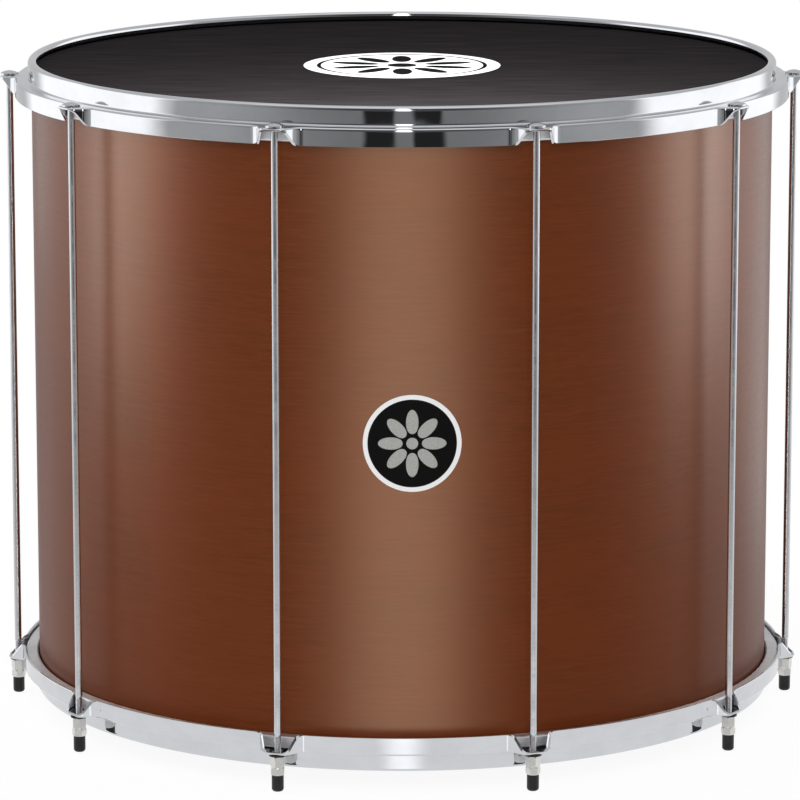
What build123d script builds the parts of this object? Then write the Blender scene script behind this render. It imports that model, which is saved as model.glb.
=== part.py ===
from build123d import *
import math
import os

# A surdo: a deep wooden bass drum with a head at each end, two pressed steel hoops
# and full-length tension rods that draw the hoops together.
# Millimetres, +Z up. The origin is on the drum's axis, level with the feet of the rod caps.
# The front faces -Y.

# Wooden shell
shell_radius = 304.8  # outside
shell_wall = 7.0
shell_depth = 508.0
bearing_round = 2.5  # outer rounding of each bearing edge
bearing_bevel = 3.7  # inner 45 degree bevel of each bearing edge

# Drum heads
film = 0.4
film_gap = 0.2  # between the film's skirt and the shell
film_skirt = 17.5  # how far the film reaches down over the shell
head_recess = 8.0  # from the hoop's rim to the head

# Pressed hoops, alike at both ends
sheet = 1.8
hoop_gap = 0.3  # between the film's skirt and the hoop's band
hoop_height = 29.8
rim_width = 7.5
rim_round = 2.4  # bends of the rolled rim, at the middle of the sheet
lip_depth = 4.3  # inner lip of the rolled rim
shelf_depth = 15.3  # from the rim to the step that bears on the flesh hoop
shoulder_round = 3.0  # bend from band to step, at the middle of the sheet
press_round = 2.4  # outer edge between step and skirt

# Flesh hoops, which hold the edge of each head
flesh_width = 10.3
flesh_height = 10.0
flesh_round = 1.6
flesh_gap = 0.2  # under the step of the hoop
skirt_gap = 0.4  # between the flesh hoop and the hoop's skirt

# Tension rods
rod_count = 10
rod_radius = 2.8
rod_standoff = 5.2  # from the skirt to the middle of a rod
rod_head_radius = 7.3
rod_head_edge = 1.4  # straight edge of the head
rod_head_dome = 2.0  # dome above that edge
rod_hole_gap = 0.4  # around a rod in its ear
thread_length = 42.0
thread_pitch = 1.06
thread_depth = 0.4

# Ears, pressed out of the skirt around each rod
ear_lip = 0.2  # ear beyond the rod's head
ear_side = 1.7  # ear beside the rod's head
ear_flare = 7.5  # how much wider each side is at the skirt
ear_tip_round = 7.0
ear_root_round = 10.0
ear_tip_lip = 0.1  # wall below the sheet at the tip
ear_slope = 54.0  # degrees, lower edge of the walls from tip to skirt
ear_foot_run = 2.6  # level part of that edge at the tip
ear_foot_round = 7.0  # where that edge leaves the tip
ear_crest_round = 5.0  # where it meets the skirt's lower edge
ear_crest_drop = 0.3  # how far below the skirt it levels out

# Nuts, washers and caps on the lower end of each rod
thread_gap = 0.06  # running fit of a nut on the thread
nut_flats = 10.2
tuning_nut_height = 8.9
lock_nut_height = 6.4
lock_nut_turn = 17.0  # degrees from the tuning nut
nut_chamfer = 1.3
washer_radius = 6.8
washer_thickness = 1.6
washer_gap = 0.3
cap_radius = 4.75
cap_length = 13.4
cap_floor = 3.0
cap_round = 2.4
cap_gap = 0.05

# Shell badge
badge_radius = 38.25
badge_thickness = 0.8
badge_turn = 1.0  # degrees from the front

# Sizes that follow from the ones above
film_inner = shell_radius + film_gap
film_outer = film_inner + film
band_inner = film_outer + hoop_gap
band_outer = band_inner + sheet
flesh_inner = band_inner
flesh_outer = flesh_inner + flesh_width
skirt_radius = flesh_outer + skirt_gap + sheet
rod_circle = skirt_radius + rod_standoff
ear_tip = rod_circle + rod_head_radius + ear_lip

# Levels, from the feet up
rod_foot = cap_floor
lock_nut_foot = cap_length
tuning_nut_foot = lock_nut_foot + lock_nut_height
washer_foot = tuning_nut_foot + tuning_nut_height
bottom_shelf = washer_foot + washer_thickness
bottom_rim = bottom_shelf - shelf_depth
shell_foot = bottom_rim + head_recess + film
shell_top = shell_foot + shell_depth
top_rim = shell_top + film + head_recess
top_shelf = top_rim - shelf_depth

first_rod = -90.0 + 180.0 / rod_count  # degrees, so that two rods flank the front
rod_step = 360.0 / rod_count


def outline(points):
    """A closed face from corners given as (radius, height, rounding)."""
    corners = [(r, z) for r, z, _ in points]
    return make_face(FilletPolyline(*corners, radius=[c for _, _, c in points], close=True))


def turned(face):
    """Turn a face drawn in radius and height about the Z axis."""
    return revolve(Plane.XZ * face, Axis.Z)


def disc(radius, height, foot=0.0):
    return Pos(0, 0, foot) * extrude(Circle(radius), height)


def rod_turn(number):
    return Rot(0, 0, first_rod + number * rod_step)


def at_rod(number, solid):
    """Carry a solid from the Z axis to the place of one rod."""
    return rod_turn(number) * Pos(rod_circle, 0, 0) * solid


def make_shell():
    inner = shell_radius - shell_wall
    wall = outline([
        (inner, bearing_bevel, 0),
        (inner + bearing_bevel, 0, 0),
        (shell_radius, 0, bearing_round),
        (shell_radius, shell_depth, bearing_round),
        (inner + bearing_bevel, shell_depth, 0),
        (inner, shell_depth - bearing_bevel, 0),
    ])
    return Pos(0, 0, shell_foot) * turned(wall)


def make_head():
    """A drum head, its struck face at Z = 0 and its skirt hanging down."""
    film_bend = bearing_round
    return turned(outline([
        (0, 0, 0),
        (film_outer, 0, film_bend + film),
        (film_outer, -film_skirt, 0),
        (film_inner, -film_skirt, 0),
        (film_inner, -film, film_bend),
        (0, -film, 0),
    ]))


def make_flesh_hoop():
    """The ring around a head's skirt, under the step of a hoop whose rim is at Z = 0."""
    top = -shelf_depth - sheet - flesh_gap
    return turned(outline([
        (flesh_inner, top, flesh_round),
        (flesh_outer, top, flesh_round),
        (flesh_outer, top - flesh_height, flesh_round),
        (flesh_inner, top - flesh_height, flesh_round),
    ]))


def ear_outline(inset):
    """Plan of one ear, pointing along +X, its sides and tip drawn in by inset."""
    slope = ear_flare / (ear_tip - skirt_radius)

    def half_width(radius):
        tip_half = rod_head_radius + ear_side
        return tip_half + slope * (ear_tip - radius) - inset * math.hypot(1, slope)

    tip = ear_tip - inset
    return make_face(Polyline(
        (band_outer, -half_width(band_outer)),
        (tip, -half_width(tip)),
        (tip, half_width(tip)),
        (band_outer, half_width(band_outer)),
        close=True,
    ))


def pressed(inset):
    """The skirt with its ears as a solid block, every face drawn in by inset."""
    plan = Circle(skirt_radius - inset)
    for number in range(rod_count):
        plan += rod_turn(number) * ear_outline(inset)
    height = hoop_height - shelf_depth - inset
    block = Pos(0, 0, -hoop_height) * extrude(plan, height)

    def reach(edge):
        return math.hypot(edge.center().X, edge.center().Y)

    uprights = block.edges().filter_by(Axis.Z)
    tips = [edge for edge in uprights if reach(edge) > rod_circle]
    block = fillet(tips, ear_tip_round - inset)
    uprights = block.edges().filter_by(Axis.Z)
    roots = [edge for edge in uprights if reach(edge) < rod_circle]
    block = fillet(roots, ear_root_round + inset)
    upper = block.faces().sort_by(Axis.Z)[-1].edges()
    return fillet(upper, press_round - inset)


def make_skirt():
    """Step, skirt and ears of a hoop whose rim is at Z = 0."""
    middle = disc(band_outer + shoulder_round, hoop_height, -hoop_height)
    return pressed(0) - pressed(sheet) - middle


def make_band():
    """Rolled rim, band and bend of a hoop whose rim is at Z = 0."""
    half = sheet / 2
    lip = band_outer - rim_width + half
    band = band_outer - half
    centre_line = FilletPolyline(
        (lip, half - lip_depth),
        (lip, -half),
        (band, -half),
        (band, -shelf_depth - half),
        (band_outer + 2 * shoulder_round, -shelf_depth - half),
        radius=[rim_round, rim_round, shoulder_round],
    )
    return turned(make_face(offset(centre_line, half)))


def ear_cut():
    """What is cut away below the curved lower edge of an ear's walls, pointing along +X."""
    tip_foot = -shelf_depth - sheet - ear_tip_lip
    skirt_foot = -hoop_height - ear_crest_drop
    start = ear_tip - ear_foot_run
    end = start - (tip_foot - skirt_foot) / math.tan(math.radians(ear_slope))
    beyond = ear_tip + rod_head_radius
    deep = -hoop_height - rod_head_radius
    edge = FilletPolyline(
        (beyond, tip_foot),
        (start, tip_foot),
        (end, skirt_foot),
        (band_outer, skirt_foot),
        radius=[ear_foot_round, ear_crest_round],
    )
    below = Polyline((band_outer, skirt_foot), (band_outer, deep), (beyond, deep), (beyond, tip_foot))
    width = rod_head_radius + ear_side + ear_flare + ear_root_round
    return extrude(Plane.XZ * make_face(Curve() + [edge, below]), width, both=True)


def make_hoop():
    """A hoop with its rim at Z = 0 and its skirt hanging down."""
    hoop = make_skirt() + make_band()
    hole = Pos(rod_circle, 0, 0) * disc(rod_radius + rod_hole_gap, hoop_height, -hoop_height)
    for number in range(rod_count):
        hoop -= rod_turn(number) * (ear_cut() + hole)
    return hoop


def make_rod():
    """A rod on the Z axis: domed head on the upper ear, thread at the lower end."""
    thread_top = rod_foot + thread_length
    turns = int(thread_length / thread_pitch)
    root = rod_radius - thread_depth
    points = [(0, rod_foot)]
    for turn in range(turns):
        crest = rod_foot + (turn + 0.5) * thread_pitch
        points += [(root, crest - thread_pitch / 2), (rod_radius, crest)]
    points += [
        (root, rod_foot + turns * thread_pitch),
        (rod_radius, thread_top + thread_depth),
        (rod_radius, top_shelf),
        (rod_head_radius, top_shelf),
        (rod_head_radius, top_shelf + rod_head_edge),
    ]
    crown = (0, top_shelf + rod_head_edge + rod_head_dome)
    dome_radius = (rod_head_radius**2 + rod_head_dome**2) / (2 * rod_head_dome)
    dome = RadiusArc(points[-1], crown, -dome_radius)
    return turned(make_face(Curve() + [Polyline(*points), dome, Line(crown, points[0])]))


def make_nut(height, foot, turn=0.0):
    """A hexagon nut on the Z axis, its corners turned off at both faces."""
    corner = nut_flats / math.sqrt(3)
    flats = nut_flats / 2
    body = Rot(0, 0, turn) * extrude(RegularPolygon(flats, 6, major_radius=False), height)
    envelope = turned(make_face(Polyline(
        (0, 0),
        (flats, 0),
        (corner, nut_chamfer),
        (corner, height - nut_chamfer),
        (flats, height),
        (0, height),
        close=True,
    )))
    return Pos(0, 0, foot) * ((body & envelope) - disc(rod_radius + thread_gap, height))


def make_washer():
    ring = disc(washer_radius, washer_thickness) - disc(rod_radius + washer_gap, washer_thickness)
    return Pos(0, 0, washer_foot) * ring


def make_cap():
    """A rubber cap on the Z axis that covers the end of the rod and stands on the floor."""
    body = turned(outline([
        (0, 0, 0),
        (cap_radius, 0, cap_round),
        (cap_radius, cap_length, 0),
        (0, cap_length, 0),
    ]))
    return body - disc(rod_radius + cap_gap, cap_length, cap_floor)


def make_badge():
    """A round plate bent to the shell."""
    middle = shell_foot + shell_depth / 2
    plate = disc(shell_radius + badge_thickness, 4 * badge_radius)
    plate -= disc(shell_radius, 4 * badge_radius)
    plate = Pos(0, 0, middle - 2 * badge_radius) * plate
    punch = Pos(0, 0, middle) * Rot(90, 0, 0) * extrude(Circle(badge_radius), 2 * shell_radius)
    return Rot(0, 0, badge_turn) * (plate & punch)


def at_top(solid):
    return Pos(0, 0, top_rim) * solid


def at_bottom(solid):
    return Pos(0, 0, bottom_rim) * mirror(solid, about=Plane.XY)


def build_nodes():
    hoop = make_hoop()
    flesh_hoop = make_flesh_hoop()
    head = Pos(0, 0, -head_recess) * make_head()
    nodes = {
        "shell": make_shell(),
        "badge": make_badge(),
        "batter_head": at_top(head),
        "resonant_head": at_bottom(head),
        "top_flesh_hoop": at_top(flesh_hoop),
        "bottom_flesh_hoop": at_bottom(flesh_hoop),
        "top_hoop": at_top(hoop),
        "bottom_hoop": at_bottom(hoop),
    }
    hardware = {
        "tension_rod": make_rod(),
        "washer": make_washer(),
        "tuning_nut": make_nut(tuning_nut_height, tuning_nut_foot),
        "lock_nut": make_nut(lock_nut_height, lock_nut_foot, lock_nut_turn),
        "rod_cap": make_cap(),
    }
    for number in range(rod_count):
        for name, solid in hardware.items():
            nodes[f"{name}_{number + 1:02d}"] = at_rod(number, solid)
    return nodes


os.makedirs("parts", exist_ok=True)
for node, shape in build_nodes().items():
    export_step(shape, f"parts/{node}.step")
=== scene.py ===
import math

import bmesh
import bpy
from mathutils import Euler, Matrix, Vector


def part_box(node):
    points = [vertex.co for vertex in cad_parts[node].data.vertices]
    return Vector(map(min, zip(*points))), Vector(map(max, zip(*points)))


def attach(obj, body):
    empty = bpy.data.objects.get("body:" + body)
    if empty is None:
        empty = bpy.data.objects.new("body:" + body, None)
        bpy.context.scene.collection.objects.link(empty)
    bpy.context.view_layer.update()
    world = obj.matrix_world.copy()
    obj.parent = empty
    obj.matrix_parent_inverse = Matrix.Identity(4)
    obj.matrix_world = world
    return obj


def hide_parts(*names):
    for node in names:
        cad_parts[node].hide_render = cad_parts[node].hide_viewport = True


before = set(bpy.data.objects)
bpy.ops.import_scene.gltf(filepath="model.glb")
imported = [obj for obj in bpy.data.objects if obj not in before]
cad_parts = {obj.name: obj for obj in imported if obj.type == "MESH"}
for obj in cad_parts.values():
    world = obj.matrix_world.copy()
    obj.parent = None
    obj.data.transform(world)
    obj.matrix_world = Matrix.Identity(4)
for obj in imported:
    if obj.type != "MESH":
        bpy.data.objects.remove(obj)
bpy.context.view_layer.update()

# The photograph's camera, in metres and degrees
camera_distance = 4.0
camera_height = 1.054
camera_pitch = 11.36
camera_turn = 0.5
camera_lens = 219.8
sensor_width = 36.0
image_side = 800
axis_column = 402.0

# The floor, in metres
floor_radius = 3.0
floor_steps = 96
floor_glow = 0.93
floor_white = 0.12
floor_tooth = 0.01

# The light that matt surfaces get from the left and the right
soft_left = 0.72
soft_right = 0.36

# What mirrors see, as levels of light. Bounds are degrees away from the lens, round the drum, or
# degrees above the horizon, and a fade is half of the change's width
front_level = 0.21
front_side_level = 0.44
front_inner = 12.0
front_outer = 66.0
back_level = 0.6
high_level = 0.07
high_side_level = 0.4
high_start = 5.0
high_fade = 3.0
ceiling_level = 0.85
ceiling_start = 60.0
ceiling_fade = 8.0
side_level = 1.4
side_start = 77.0
side_end = 145.0
side_fade = 6.0
side_foot = -11.0
side_top = 30.0
side_rise_fade = 3.0
low_level = 0.88
low_start = -13.6
low_fade = 1.2
card_level = 0.02
card_inner = 2.8
card_outer = 11.8
card_foot = -12.0
card_top = 1.5
card_fade = 0.8
glow_level = 1.4
glow_reach = 9.0
glow_foot = -48.0
glow_top = -13.0
glow_fade = 1.0
strip_level = 4.0
strip_half = 2.2
strip_edge = 0.7
strip_foot = 5.0
strip_top = 56.0
strip_fade = 2.0

# Lamps: name, place and aim in metres, width, height, and power in watts
strip_light = ("strip_light", (0, -3.4, 1.75), (0, 0, 0.35), 0.3, 1.5, 40.0)
strip_pieces = (
    "shell", "badge", "batter", "resonant", "top_flesh", "bottom_flesh", "tuning", "lock", "washer", "rod_cap",
)
head_light = ("head_light", (0, -0.5, 0.72), (0, -0.25, 0.53), 0.4, 0.12, 11.5)
gloss_lights = (
    ("front_light", (0, -3.4, -0.3), (0, 0, -0.3), 1.9, 2.6, 222.0),
    ("left_light", (-1.3, -0.14, 0.75), (0, -0.14, 0.75), 0.72, 1.2, 34.0),
    ("right_light", (1.3, 0.0, 0.75), (0, 0.0, 0.75), 0.68, 1.2, 33.0),
    ("left_back_light", (-1.3, 1.45, 0.7), (-0.29, 0, 0.7), 0.9, 1.2, 2.8),
    ("right_back_light", (1.3, 1.35, 0.55), (0.29, 0, 0.55), 0.9, 1.6, 4.0),
)

# Pressed hoops, in millimetres, heights measured down from the rim
rim_inner = 300.0
rim_bend = 3.3
lip_foot = -3.4
band_outer = 307.5
sheet = 1.8
shoulder_centre = 309.6
shelf_level = -15.3
skirt_radius = 318.2
skirt_foot = -29.8
press_round = 2.4
edge_soft = 0.3
rod_circle = 323.4
rod_hole = 3.2
rod_count = 10
ear_tip = 330.9
ear_half = 9.0
ear_flare = 7.5
ear_tip_round = 7.0
ear_root_round = 10.0
ear_foot = -17.2
ear_foot_start = 328.3
ear_foot_round = 7.0
ear_slope = math.radians(54.0)
ear_crest = -30.1
ear_crest_round = 5.0

# How finely the hoops are drawn: steps to each side of an ear, over its reach in degrees, steps from
# ear to ear, sides of a rod's hole, gap in metres that is welded, and degrees from which an edge is sharp
ear_reach = 4.4
ear_steps = 44
between_steps = 13
hole_steps = 32
weld_gap = 2e-6
crease = 32.0

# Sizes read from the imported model
shell_low, shell_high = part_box("shell")
shell_radius = (shell_high.x - shell_low.x) / 2
shell_wall = 0.007
badge_low, badge_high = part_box("badge")
badge_radius = (badge_high.z - badge_low.z) / 2
badge_height = (badge_high.z + badge_low.z) / 2
badge_turn = math.degrees(math.atan2((badge_high.x + badge_low.x) / 2, shell_radius))
first_ear = -90.0 + 180.0 / rod_count

# Artwork, in metres: each rosette as its count of petals, their inner and outer radius and their width,
# and the ring as the radii where it starts, is full, is last full and ends
print_radius = 0.081
print_edge = 0.0003
print_rosette = (10, 0.02, 0.06, 0.016)
print_ring = (0.0665, 0.067, 0.07, 0.0705)
badge_rosette = (8, 0.0075, 0.0265, 0.0098)
badge_rim = 0.0036
badge_edge = 0.0002
petal_edge = 0.04
eye_share = 0.6


class Nodes:
    """A node tree with short ways to add what the finishes need."""

    def __init__(self, tree):
        self.tree = tree
        tree.nodes.clear()

    def add(self, kind, **settings):
        node = self.tree.nodes.new(kind)
        for name, value in settings.items():
            setattr(node, name, value)
        return node

    def put(self, socket, value):
        if isinstance(value, bpy.types.NodeSocket):
            self.tree.links.new(value, socket)
        else:
            socket.default_value = value

    def calc(self, operation, *values):
        node = self.add("ShaderNodeMath", operation=operation)
        for socket, value in zip(node.inputs, values):
            self.put(socket, value)
        return node.outputs[0]

    def split(self, vector):
        node = self.add("ShaderNodeSeparateXYZ")
        self.put(node.inputs[0], vector)
        return tuple(node.outputs)

    def hypotenuse(self, across, up):
        squares = [self.calc("MULTIPLY", side, side) for side in (across, up)]
        return self.calc("SQRT", self.calc("ADD", *squares))

    def stretch(self, vector, scale):
        node = self.add("ShaderNodeMapping")
        self.put(node.inputs["Vector"], vector)
        node.inputs["Scale"].default_value = scale
        return node.outputs[0]

    def noise(self, vector, scale=1.0, detail=4.0, roughness=0.5):
        node = self.add("ShaderNodeTexNoise")
        self.put(node.inputs["Vector"], vector)
        node.inputs["Scale"].default_value = scale
        node.inputs["Detail"].default_value = detail
        node.inputs["Roughness"].default_value = roughness
        return node.outputs["Fac"]

    def ramp(self, value, low, high, to_low=0.0, to_high=1.0):
        node = self.add("ShaderNodeMapRange", interpolation_type="SMOOTHSTEP")
        for name, setting in (("From Min", low), ("From Max", high), ("To Min", to_low), ("To Max", to_high)):
            self.put(node.inputs[name], setting)
        self.put(node.inputs["Value"], value)
        return node.outputs[0]

    def blend(self, share, first, second):
        node = self.add("ShaderNodeMix", data_type="RGBA")
        self.put(node.inputs["Factor"], share)
        self.put(node.inputs[6], first)
        self.put(node.inputs[7], second)
        return node.outputs[2]

    def bump(self, height, depth, strength=1.0):
        node = self.add("ShaderNodeBump")
        self.put(node.inputs["Height"], height)
        node.inputs["Distance"].default_value = depth
        node.inputs["Strength"].default_value = strength
        return node.outputs[0]


def finish_of(name, **constants):
    """A material with a Principled shader, its constant sockets set, and its object coordinates."""
    material = bpy.data.materials.new(name)
    material.use_nodes = True
    nodes = Nodes(material.node_tree)
    shader = nodes.add("ShaderNodeBsdfPrincipled")
    out = nodes.add("ShaderNodeOutputMaterial")
    nodes.tree.links.new(shader.outputs[0], out.inputs["Surface"])
    for socket, value in constants.items():
        shader.inputs[socket.replace("_", " ")].default_value = value
    place = nodes.add("ShaderNodeTexCoord").outputs["Object"]
    return material, nodes, shader.inputs, place


def rgb(red, green, blue):
    """A colour given as the picture shows it, as linear light."""
    def linear(value):
        share = value / 255
        return share / 12.92 if share <= 0.04045 else ((share + 0.055) / 1.055) ** 2.4
    return linear(red), linear(green), linear(blue), 1.0


def grey(value):
    """A grey of this level of linear light."""
    return value, value, value, 1.0


def rosette(nodes, across, up, petals, inner, outer, width):
    """One inside a ring of long petals and a small middle disc, nought outside. Also the radius."""
    reach = nodes.hypotenuse(across, up)
    turn = nodes.calc("MULTIPLY", nodes.calc("ARCTAN2", across, up), petals / (2 * math.pi))
    share = nodes.calc("SUBTRACT", turn, nodes.calc("ROUND", turn))
    arc = nodes.calc("MULTIPLY", nodes.calc("MULTIPLY", share, reach), 2 * math.pi / petals)
    middle, half = (inner + outer) / 2, (outer - inner) / 2
    along = nodes.calc("DIVIDE", nodes.calc("SUBTRACT", reach, middle), half)
    aside = nodes.calc("DIVIDE", arc, width / 2)
    spread = nodes.calc("ADD", nodes.calc("MULTIPLY", along, along), nodes.calc("MULTIPLY", aside, aside))
    petal = nodes.ramp(spread, 1 + petal_edge, 1 - petal_edge)
    eye = nodes.ramp(reach, inner * (eye_share + 0.02), inner * eye_share)
    return nodes.calc("MAXIMUM", petal, eye), reach


def make_veneer():
    """Stained veneer under satin lacquer, its grain running round the shell, and bare ply inside."""
    material, nodes, shader, place = finish_of("shell_veneer", IOR=1.25, Specular_Tint=(1.0, 0.78, 0.54, 1.0))
    fine = nodes.noise(nodes.stretch(place, (70, 70, 1100)), detail=3.0, roughness=0.6)
    streak = nodes.noise(nodes.stretch(place, (20, 20, 420)), detail=4.0, roughness=0.6)
    cloud = nodes.noise(nodes.stretch(place, (8, 8, 16)), detail=3.0)
    pore = nodes.noise(nodes.stretch(place, (140, 140, 3000)), detail=2.0, roughness=0.7)
    grain = nodes.calc("ADD", nodes.calc("MULTIPLY", fine, 0.5), nodes.calc("MULTIPLY", streak, 0.5))
    stain = nodes.blend(nodes.ramp(grain, 0.3, 0.7), rgb(92, 41, 13), rgb(107, 49, 19))
    warm = nodes.blend(nodes.ramp(cloud, 0.35, 0.68), stain, rgb(108, 45, 15))
    cloudy = nodes.blend(0.4, stain, warm)
    pored = nodes.blend(nodes.ramp(pore, 0.62, 0.78, 0.0, 0.25), cloudy, rgb(60, 26, 10))
    across, deep, _ = nodes.split(place)
    radius = nodes.hypotenuse(across, deep)
    bare = nodes.blend(nodes.ramp(streak, 0.3, 0.7), rgb(196, 158, 118), rgb(222, 190, 150))
    outside = nodes.ramp(radius, shell_radius - 0.4 * shell_wall, shell_radius - 0.2 * shell_wall)
    nodes.put(shader["Base Color"], nodes.blend(outside, bare, pored))
    nodes.put(shader["Roughness"], nodes.ramp(fine, 0.25, 0.75, 0.34, 0.4))
    nodes.put(shader["Normal"], nodes.bump(grain, 0.00004, 0.5))
    return material


def make_film(name, printed):
    """Black coated film with a faint drag of the coating, and the round print where it has one."""
    material, nodes, shader, place = finish_of(name, Specular_IOR_Level=0.0)
    drag = nodes.noise(nodes.stretch(place, (14, 230, 60)), detail=5.0, roughness=0.6)
    speckle = nodes.noise(place, scale=900, detail=2.0)
    film = nodes.blend(nodes.ramp(drag, 0.3, 0.72), rgb(29, 27, 28), rgb(41, 38, 39))
    if printed:
        across, deep, _ = nodes.split(place)
        mark, reach = rosette(nodes, across, deep, *print_rosette)
        ring_in, ring_low, ring_high, ring_out = print_ring
        ring = nodes.calc(
            "MULTIPLY", nodes.ramp(reach, ring_in, ring_low), nodes.ramp(reach, ring_out, ring_high)
        )
        ink = nodes.calc("MAXIMUM", mark, ring)
        paint = nodes.blend(nodes.ramp(drag, 0.25, 0.75), rgb(236, 236, 234), rgb(248, 248, 247))
        paint = nodes.blend(ink, paint, rgb(26, 24, 25))
        inside = nodes.ramp(reach, print_radius + print_edge, print_radius - print_edge)
        film = nodes.blend(inside, film, paint)
    nodes.put(shader["Base Color"], film)
    nodes.put(shader["Roughness"], nodes.ramp(drag, 0.2, 0.8, 0.5, 0.66))
    nodes.put(shader["Normal"], nodes.bump(speckle, 0.00005, 0.35))
    return material


def make_chrome(name, shade, roughness, ripple):
    """Chromium plate: a mirror with the press's faint ripple, and handling that dulls it a little."""
    material, nodes, shader, place = finish_of(name, Metallic=1.0)
    wave = nodes.noise(place, scale=26, detail=1.0)
    smear = nodes.noise(nodes.stretch(place, (30, 30, 60)), detail=6.0, roughness=0.65)
    dulled = tuple(0.93 * value for value in shade[:3]) + (1.0,)
    nodes.put(shader["Base Color"], nodes.blend(nodes.ramp(smear, 0.3, 0.7), shade, dulled))
    nodes.put(shader["Roughness"], nodes.ramp(smear, 0.35, 0.75, roughness, roughness * 2.2))
    nodes.put(shader["Normal"], nodes.bump(wave, ripple, 1.0))
    return material


def make_brushed(name, dark, light, roughness, scale):
    """Dull plated or spun metal with fine turned lines."""
    material, nodes, shader, place = finish_of(name, Metallic=1.0)
    lines = nodes.noise(nodes.stretch(place, scale), detail=4.0, roughness=0.6)
    blotch = nodes.noise(place, scale=180, detail=3.0)
    nodes.put(shader["Base Color"], nodes.blend(nodes.ramp(lines, 0.25, 0.75), dark, light))
    nodes.put(shader["Roughness"], nodes.ramp(blotch, 0.3, 0.7, roughness, roughness + 0.14))
    nodes.put(shader["Normal"], nodes.bump(lines, 0.00003, 0.5))
    return material


def make_black(name, dark, light, roughness, grain):
    """Black rubber or blackened washer, matt with a fine skin."""
    material, nodes, shader, place = finish_of(name, Specular_IOR_Level=0.4)
    skin = nodes.noise(place, scale=grain, detail=5.0, roughness=0.6)
    worn = nodes.noise(place, scale=90, detail=3.0)
    nodes.put(shader["Base Color"], nodes.blend(nodes.ramp(worn, 0.35, 0.75), dark, light))
    nodes.put(shader["Roughness"], nodes.ramp(worn, 0.3, 0.7, roughness, roughness + 0.15))
    nodes.put(shader["Normal"], nodes.bump(skin, 0.00006, 0.6))
    return material


def make_badge():
    """Black printed plate with a white ring and a plain rosette in silver."""
    material, nodes, shader, place = finish_of("badge_print", Specular_IOR_Level=0.06)
    turned = nodes.add("ShaderNodeMapping", vector_type="POINT")
    nodes.put(turned.inputs["Vector"], place)
    turned.inputs["Rotation"].default_value = (0.0, 0.0, math.radians(-badge_turn))
    across, _, high = nodes.split(turned.outputs[0])
    mark, reach = rosette(nodes, across, nodes.calc("SUBTRACT", high, badge_height), *badge_rosette)
    edge = badge_radius - badge_rim
    fleck = nodes.noise(place, scale=1400, detail=2.0)
    silver = nodes.blend(nodes.ramp(fleck, 0.3, 0.7), rgb(158, 158, 154), rgb(182, 182, 178))
    ground = nodes.blend(nodes.ramp(fleck, 0.3, 0.7), rgb(10, 9, 9), rgb(18, 17, 17))
    face = nodes.blend(mark, ground, silver)
    white = nodes.blend(nodes.ramp(fleck, 0.3, 0.7), rgb(240, 240, 239), rgb(250, 250, 250))
    outside = nodes.ramp(reach, edge - badge_edge, edge + badge_edge)
    nodes.put(shader["Base Color"], nodes.blend(outside, face, white))
    nodes.put(shader["Roughness"], nodes.ramp(fleck, 0.2, 0.8, 0.32, 0.42))
    nodes.put(shader["Normal"], nodes.bump(mark, 0.00012, 0.6))
    return material


def dress(finish, *starts):
    """Gives a finish to every node whose name starts with one of these words."""
    for name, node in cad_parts.items():
        if name.startswith(starts):
            for slot in node.material_slots:
                slot.material = finish


def add_object(name, data):
    """A new object in the scene."""
    thing = bpy.data.objects.new(name, data)
    bpy.context.scene.collection.objects.link(thing)
    return thing


def arc(middle, level, radius, start, end, steps=5):
    """Points of an arc in radius and height, from one angle in degrees to another."""
    turns = [math.radians(start + (end - start) * n / steps) for n in range(steps + 1)]
    return [(middle + radius * math.cos(turn), level + radius * math.sin(turn)) for turn in turns]


class EarPlan:
    """Plan of a skirt with its ears, drawn in by inset, as a radius for each angle from an ear."""

    def __init__(self, inset):
        self.slope = ear_flare / (ear_tip - skirt_radius)
        self.tilt = math.hypot(1.0, self.slope)
        self.tip = ear_tip - inset
        self.circle = skirt_radius - inset
        self.side = ear_half + self.slope * ear_tip
        self.inset = inset
        side_way = Vector((self.slope, 1.0)) / self.tilt
        self.tip_radius = ear_tip_round - inset
        self.tip_centre = Vector((ear_tip - ear_tip_round, ear_half + ear_tip_round * (self.slope - self.tilt)))
        self.root_radius = ear_root_round + inset
        start = Vector((ear_tip, ear_half + ear_root_round * self.tilt))
        way = Vector((-1.0, self.slope)) / self.tilt
        along = start.dot(way)
        run = -along - math.sqrt(along**2 - start.length_squared + (skirt_radius + ear_root_round) ** 2)
        self.root_centre = start + run * way
        # Angles at which the tip, its corner, the flared side and the root's corner end
        self.ends = [
            math.atan2(self.tip_centre.y, self.tip),
            self.angle(self.tip_centre + self.tip_radius * side_way),
            self.angle(self.root_centre - self.root_radius * side_way),
            self.angle(self.root_centre),
        ]

    @staticmethod
    def angle(point):
        return math.atan2(point.y, point.x)

    @staticmethod
    def cross(centre, radius, way, far):
        """Distance along a way at which it crosses a corner's circle, on its far or near side."""
        aside = centre.x * way.y - centre.y * way.x
        half = math.sqrt(max(radius**2 - aside**2, 0.0))
        return centre.dot(way) + (half if far else -half)

    def reach(self, turn):
        """The plan's radius at an angle, in radians, from the ear."""
        turn = abs(turn)
        way = Vector((math.cos(turn), math.sin(turn)))
        if turn < self.ends[0]:
            return self.tip / way.x
        if turn < self.ends[1]:
            return self.cross(self.tip_centre, self.tip_radius, way, True)
        if turn < self.ends[2]:
            return (self.side - self.inset * self.tilt) / (self.slope * way.x + way.y)
        if turn < self.ends[3]:
            return self.cross(self.root_centre, self.root_radius, way, False)
        return self.circle


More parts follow.
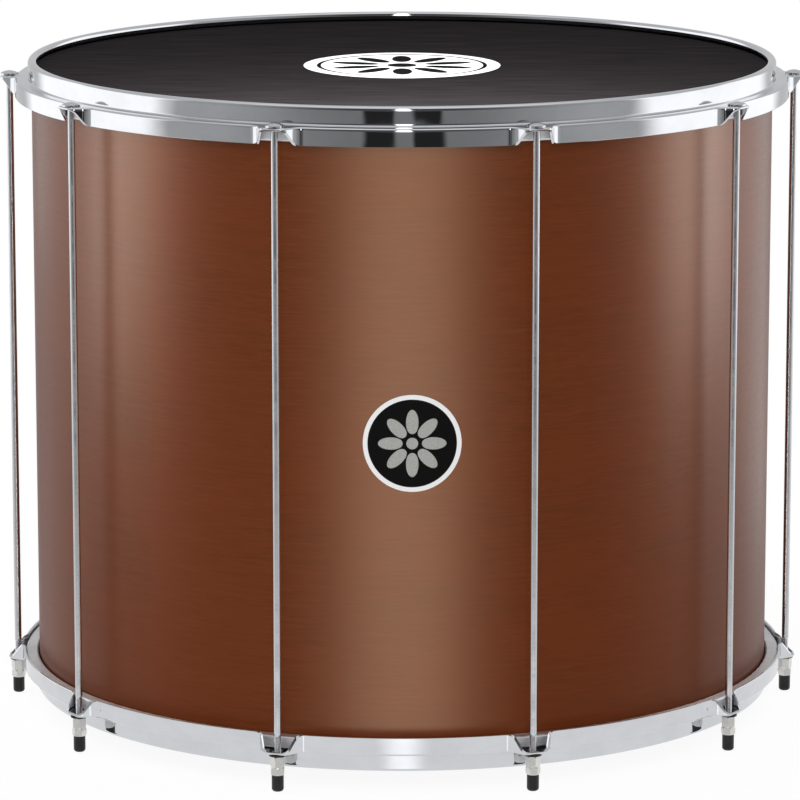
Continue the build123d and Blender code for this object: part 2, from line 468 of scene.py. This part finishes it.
def ear_wall_foot(ahead):
    """Level of the walls' lower edge at a distance ahead of the drum's axis."""
    high = ear_foot_start + ear_foot_round * math.tan(ear_slope / 2)
    crest = ear_foot_start - (ear_foot - ear_crest) / math.tan(ear_slope)
    low = crest - ear_crest_round * math.tan(ear_slope / 2)
    if ahead > high:
        level = ear_foot
    elif ahead > high - ear_foot_round * math.sin(ear_slope):
        level = ear_foot - ear_foot_round + math.sqrt(ear_foot_round**2 - (ahead - high) ** 2)
    elif ahead > low + ear_crest_round * math.sin(ear_slope):
        level = ear_foot - (ear_foot_start - ahead) * math.tan(ear_slope)
    elif ahead > low:
        level = ear_crest + ear_crest_round - math.sqrt(ear_crest_round**2 - (ahead - low) ** 2)
    else:
        level = ear_crest
    return max(level, skirt_foot)


def hoop_section(turn, plans):
    """The hoop's closed section at an angle from the nearest ear, as radius and height."""
    def plan(inset):
        """Radius of the ear's or the skirt's plan, drawn in by the inset."""
        key = round(inset, 3)
        if key not in plans:
            plans[key] = EarPlan(key)
        return plans[key].reach(turn)

    bend_in = rim_bend - sheet
    rim_outer = band_outer - rim_bend
    rim_middle = rim_inner + rim_bend
    press_level = shelf_level - press_round
    shoulder = shoulder_centre - band_outer
    outer_foot = ear_wall_foot(plan(0.0) * math.cos(turn))
    inner_foot = ear_wall_foot(plan(sheet) * math.cos(turn))
    # Outside: over the rim, down the band, out over the shelf and round the press
    section = arc(rim_middle, -rim_bend, rim_bend, 180, 90, 6) + arc(rim_outer, -rim_bend, rim_bend, 90, 0, 6)
    section += arc(shoulder_centre, shelf_level + shoulder, shoulder, 180, 270)
    for _, height in arc(0.0, press_level, press_round, 90, 0):
        inset = press_round - math.sqrt(max(press_round**2 - (height - press_level) ** 2, 0.0))
        section.append((plan(inset), max(height, outer_foot + edge_soft)))
    # The foot of the skirt or of the ear's walls
    section += [
        (plan(0.0), outer_foot + edge_soft),
        (plan(edge_soft), outer_foot),
        (plan(sheet - edge_soft), inner_foot),
        (plan(sheet), inner_foot + edge_soft),
    ]
    # Inside: back up to the rim and down to its lip
    inner_press = press_round - sheet
    for _, height in arc(0.0, press_level, inner_press, 0, 90, 3):
        inset = press_round - math.sqrt(max(inner_press**2 - (height - press_level) ** 2, 0.0))
        section.append((plan(inset), max(height, inner_foot + edge_soft)))
    section += arc(shoulder_centre, shelf_level + shoulder, shoulder + sheet, 270, 180)
    section += arc(rim_outer, -rim_bend, bend_in, 0, 90, 4) + arc(rim_middle, -rim_bend, bend_in, 90, 180, 4)
    section += arc(rim_inner + sheet / 2, lip_foot, sheet / 2, 0, -180, 6)
    return section


def make_hoop_mesh(name):
    """A whole pressed hoop with its rim up at nought, in metres, without the rods' holes."""
    turns = [ear_reach * n / ear_steps for n in range(-ear_steps, ear_steps)]
    rest = 360.0 / rod_count - 2 * ear_reach
    turns += [ear_reach + rest * n / between_steps for n in range(between_steps)]
    half = 180.0 / rod_count
    plans = {}
    grid = bmesh.new()
    rings = []
    for number in range(rod_count):
        for turn in turns:
            local = turn if turn < half else turn - 2 * half
            around = math.radians(first_ear + 2 * half * number + turn)
            across, deep = math.cos(around) / 1000, math.sin(around) / 1000
            rings.append([
                grid.verts.new((radius * across, radius * deep, height / 1000))
                for radius, height in hoop_section(math.radians(local), plans)
            ])
    for ring, after in zip(rings, rings[1:] + rings[:1]):
        for n in range(len(ring)):
            grid.faces.new((ring[n - 1], after[n - 1], after[n], ring[n]))
    bmesh.ops.remove_doubles(grid, verts=grid.verts, dist=weld_gap)
    bmesh.ops.recalc_face_normals(grid, faces=grid.faces)
    mesh = bpy.data.meshes.new(name)
    grid.to_mesh(mesh)
    grid.free()
    return mesh


def make_hole_cutter():
    """A cylinder through each ear, for the rods' holes."""
    grid = bmesh.new()
    for number in range(rod_count):
        around = math.radians(first_ear + 360.0 / rod_count * number)
        place = Matrix.Translation((
            rod_circle / 1000 * math.cos(around), rod_circle / 1000 * math.sin(around), shelf_level / 1000
        ))
        bmesh.ops.create_cone(
            grid, cap_ends=True, segments=hole_steps, radius1=rod_hole / 1000, radius2=rod_hole / 1000,
            depth=4 * sheet / 1000, matrix=place,
        )
    mesh = bpy.data.meshes.new("rod_holes")
    grid.to_mesh(mesh)
    grid.free()
    return add_object("rod_holes", mesh)


def make_hoops(finish):
    """Both hoops as fine meshes that stand for the model's own, upright and upside down."""
    blank = add_object("hoop_blank", make_hoop_mesh("hoop_blank"))
    cutter = make_hole_cutter()
    punch = blank.modifiers.new("rod_holes", "BOOLEAN")
    punch.operation = "DIFFERENCE"
    punch.solver = "EXACT"
    punch.object = cutter
    punched = bpy.data.meshes.new_from_object(blank.evaluated_get(bpy.context.evaluated_depsgraph_get()))
    for spare in (blank, cutter):
        bpy.data.objects.remove(spare, do_unlink=True)
    for name, node, body, level, upright in (
        ("pressed_hoop_top", "top_hoop", "drum_frame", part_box("top_hoop")[1].z, 1.0),
        ("pressed_hoop_bottom", "bottom_hoop", "bottom_ring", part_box("bottom_hoop")[0].z, -1.0),
    ):
        mesh = punched.copy()
        mesh.name = name
        mesh.transform(Matrix.Translation((0.0, 0.0, level)) @ Matrix.Diagonal((1.0, 1.0, upright, 1.0)))
        if upright < 0:
            mesh.flip_normals()
        mesh.shade_smooth()
        mesh.set_sharp_from_angle(angle=math.radians(crease))
        mesh.materials.clear()
        mesh.materials.append(finish)
        hoop = add_object(name, mesh)
        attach(hoop, body)
        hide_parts(node)


def make_floor():
    """White paper lit from below, as on a light table. The chrome shows the studio in its place."""
    material, nodes, shader, place = finish_of("floor_paper", Specular_IOR_Level=0.0, Roughness=0.9)
    tooth = nodes.noise(place, scale=40, detail=4.0)
    low, high = grey(floor_white - floor_tooth), grey(floor_white + floor_tooth)
    nodes.put(shader["Base Color"], nodes.blend(tooth, low, high))
    shader["Emission Color"].default_value = grey(1.0)
    shader["Emission Strength"].default_value = floor_glow
    turns = [2 * math.pi * n / floor_steps for n in range(floor_steps)]
    mesh = bpy.data.meshes.new("floor")
    mesh.from_pydata(
        [(floor_radius * math.cos(turn), floor_radius * math.sin(turn), 0) for turn in turns],
        [], [range(floor_steps)],
    )
    mesh.materials.append(material)
    floor = add_object("floor", mesh)
    floor.visible_glossy = False
    floor.visible_diffuse = False
    floor.visible_shadow = False


def make_studio():
    """A soft studio, painted by direction: grey towards the photographer, white at the sides and below.

    Two dark cards, a glow below them and a bright strip above stand by the lens. Matt surfaces get an
    even light that falls off to the right instead, and the camera sees white.
    """
    world = bpy.data.worlds.new("studio")
    bpy.context.scene.world = world
    world.use_nodes = True
    nodes = Nodes(world.node_tree)
    side, deep, up = nodes.split(nodes.add("ShaderNodeTexCoord").outputs["Generated"])
    degrees = 180 / math.pi
    turn = nodes.calc("MULTIPLY", nodes.calc("ARCTAN2", side, nodes.calc("MULTIPLY", deep, -1.0)), degrees)
    away = nodes.calc("ABSOLUTE", turn)
    rise = nodes.calc("MULTIPLY", nodes.calc("ARCSINE", up), degrees)

    def above(value, start, fade):
        return nodes.ramp(value, start - fade, start + fade)

    def below(value, end, fade):
        return nodes.ramp(value, end + fade, end - fade)

    def both(first, second):
        return nodes.calc("MULTIPLY", first, second)

    def within(value, low, high, fade):
        return both(above(value, low, fade), below(value, high, fade))

    outward = nodes.ramp(away, front_inner, front_outer)
    front = nodes.blend(outward, grey(front_level), grey(front_side_level))
    high = nodes.blend(outward, grey(high_level), grey(high_side_level))
    light = nodes.blend(above(rise, high_start, high_fade), front, high)
    sides = both(
        within(away, side_start, side_end, side_fade), within(rise, side_foot, side_top, side_rise_fade)
    )
    cards = both(within(away, card_inner, card_outer, card_fade), within(rise, card_foot, card_top, card_fade))
    glow = both(nodes.ramp(away, glow_reach, 0.0), within(rise, glow_foot, glow_top, glow_fade))
    strip = both(below(away, strip_half, strip_edge), within(rise, strip_foot, strip_top, strip_fade))
    for share, level in (
        (above(away, side_start, side_fade), back_level),
        (above(rise, ceiling_start, ceiling_fade), ceiling_level),
        (sides, side_level),
        (below(rise, low_start, low_fade), low_level),
        (cards, card_level),
        (glow, glow_level),
        (strip, strip_level),
    ):
        light = nodes.blend(share, light, grey(level))

    path = nodes.add("ShaderNodeLightPath")
    gentle = nodes.ramp(side, -1.0, 1.0, soft_left, soft_right)
    soft = nodes.blend(path.outputs["Is Diffuse Ray"], light, gentle)
    backdrop = nodes.add("ShaderNodeBackground")
    nodes.put(backdrop.inputs["Color"], nodes.blend(path.outputs["Is Camera Ray"], soft, grey(1.0)))
    out = nodes.add("ShaderNodeOutputWorld")
    nodes.put(out.inputs["Surface"], backdrop.outputs[0])


def add_softbox(name, place, aim, width, height, power):
    """A rectangular lamp that the camera doesn't see."""
    lamp = bpy.data.lights.new(name, "AREA")
    lamp.shape = "RECTANGLE"
    lamp.size = width
    lamp.size_y = height
    lamp.energy = power
    box = add_object(name, lamp)
    box.location = place
    box.rotation_euler = (Vector(aim) - Vector(place)).to_track_quat("-Z", "Y").to_euler()
    box.visible_camera = False
    return box


def keep_to(lamp, *starts):
    """Lets a lamp light only the nodes whose name starts with one of these words."""
    lit = bpy.data.collections.new(lamp.name + "_pieces")
    for name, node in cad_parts.items():
        if name.startswith(starts):
            lit.objects.link(node)
    lamp.light_linking.receiver_collection = lit


def light_up():
    """A strip over the lens that spares hoops and rods, a box for the upper head, and the lacquer's gloss."""
    keep_to(add_softbox(*strip_light), *strip_pieces)
    keep_to(add_softbox(*head_light), "batter_head")
    for light in gloss_lights:
        box = add_softbox(*light)
        box.visible_diffuse = False
        keep_to(box, "shell")


def make_camera():
    """The photograph's viewpoint, aimed a little aside so that the drum's axis stands where it does there."""
    focal_pixels = camera_lens / sensor_width * image_side
    yaw = camera_turn + math.degrees(math.atan((image_side / 2 - axis_column) / focal_pixels))
    data = bpy.data.cameras.new("camera")
    data.lens = camera_lens
    data.sensor_width = sensor_width
    data.clip_end = 100.0
    camera = add_object("camera", data)
    turn = math.radians(camera_turn)
    camera.location = (-camera_distance * math.sin(turn), -camera_distance * math.cos(turn), camera_height)
    camera.rotation_euler = Euler((math.radians(90 - camera_pitch), 0, -math.radians(yaw)))
    bpy.context.scene.camera = camera


bpy.context.scene.view_settings.view_transform = "Standard"

dress(make_veneer(), "shell")
dress(make_film("batter_film", printed=True), "batter_head")
dress(make_film("resonant_film", printed=False), "resonant_head")
hoop_plate = make_chrome("hoop_plate", rgb(216, 218, 222), roughness=0.03, ripple=0.0003)
dress(hoop_plate, "top_hoop", "bottom_hoop")
make_hoops(hoop_plate)
dress(make_chrome("rod_plate", rgb(214, 215, 218), roughness=0.11, ripple=0.00001), "tension_rod")
alloy = make_brushed(
    "flesh_hoop_alloy", rgb(218, 219, 222), rgb(236, 237, 239), roughness=0.4, scale=(20, 20, 1500)
)
dress(alloy, "top_flesh", "bottom_flesh")
nickel = make_brushed(
    "nut_nickel", rgb(208, 207, 204), rgb(228, 227, 224), roughness=0.34, scale=(300, 300, 2600)
)
dress(nickel, "tuning_nut", "lock_nut")
dress(make_black("washer_finish", rgb(14, 14, 15), rgb(26, 26, 27), roughness=0.4, grain=1600), "washer")
dress(make_black("cap_rubber", rgb(14, 14, 15), rgb(28, 28, 29), roughness=0.42, grain=1200), "rod_cap")
dress(make_badge(), "badge")

make_floor()
make_studio()
light_up()
make_camera()
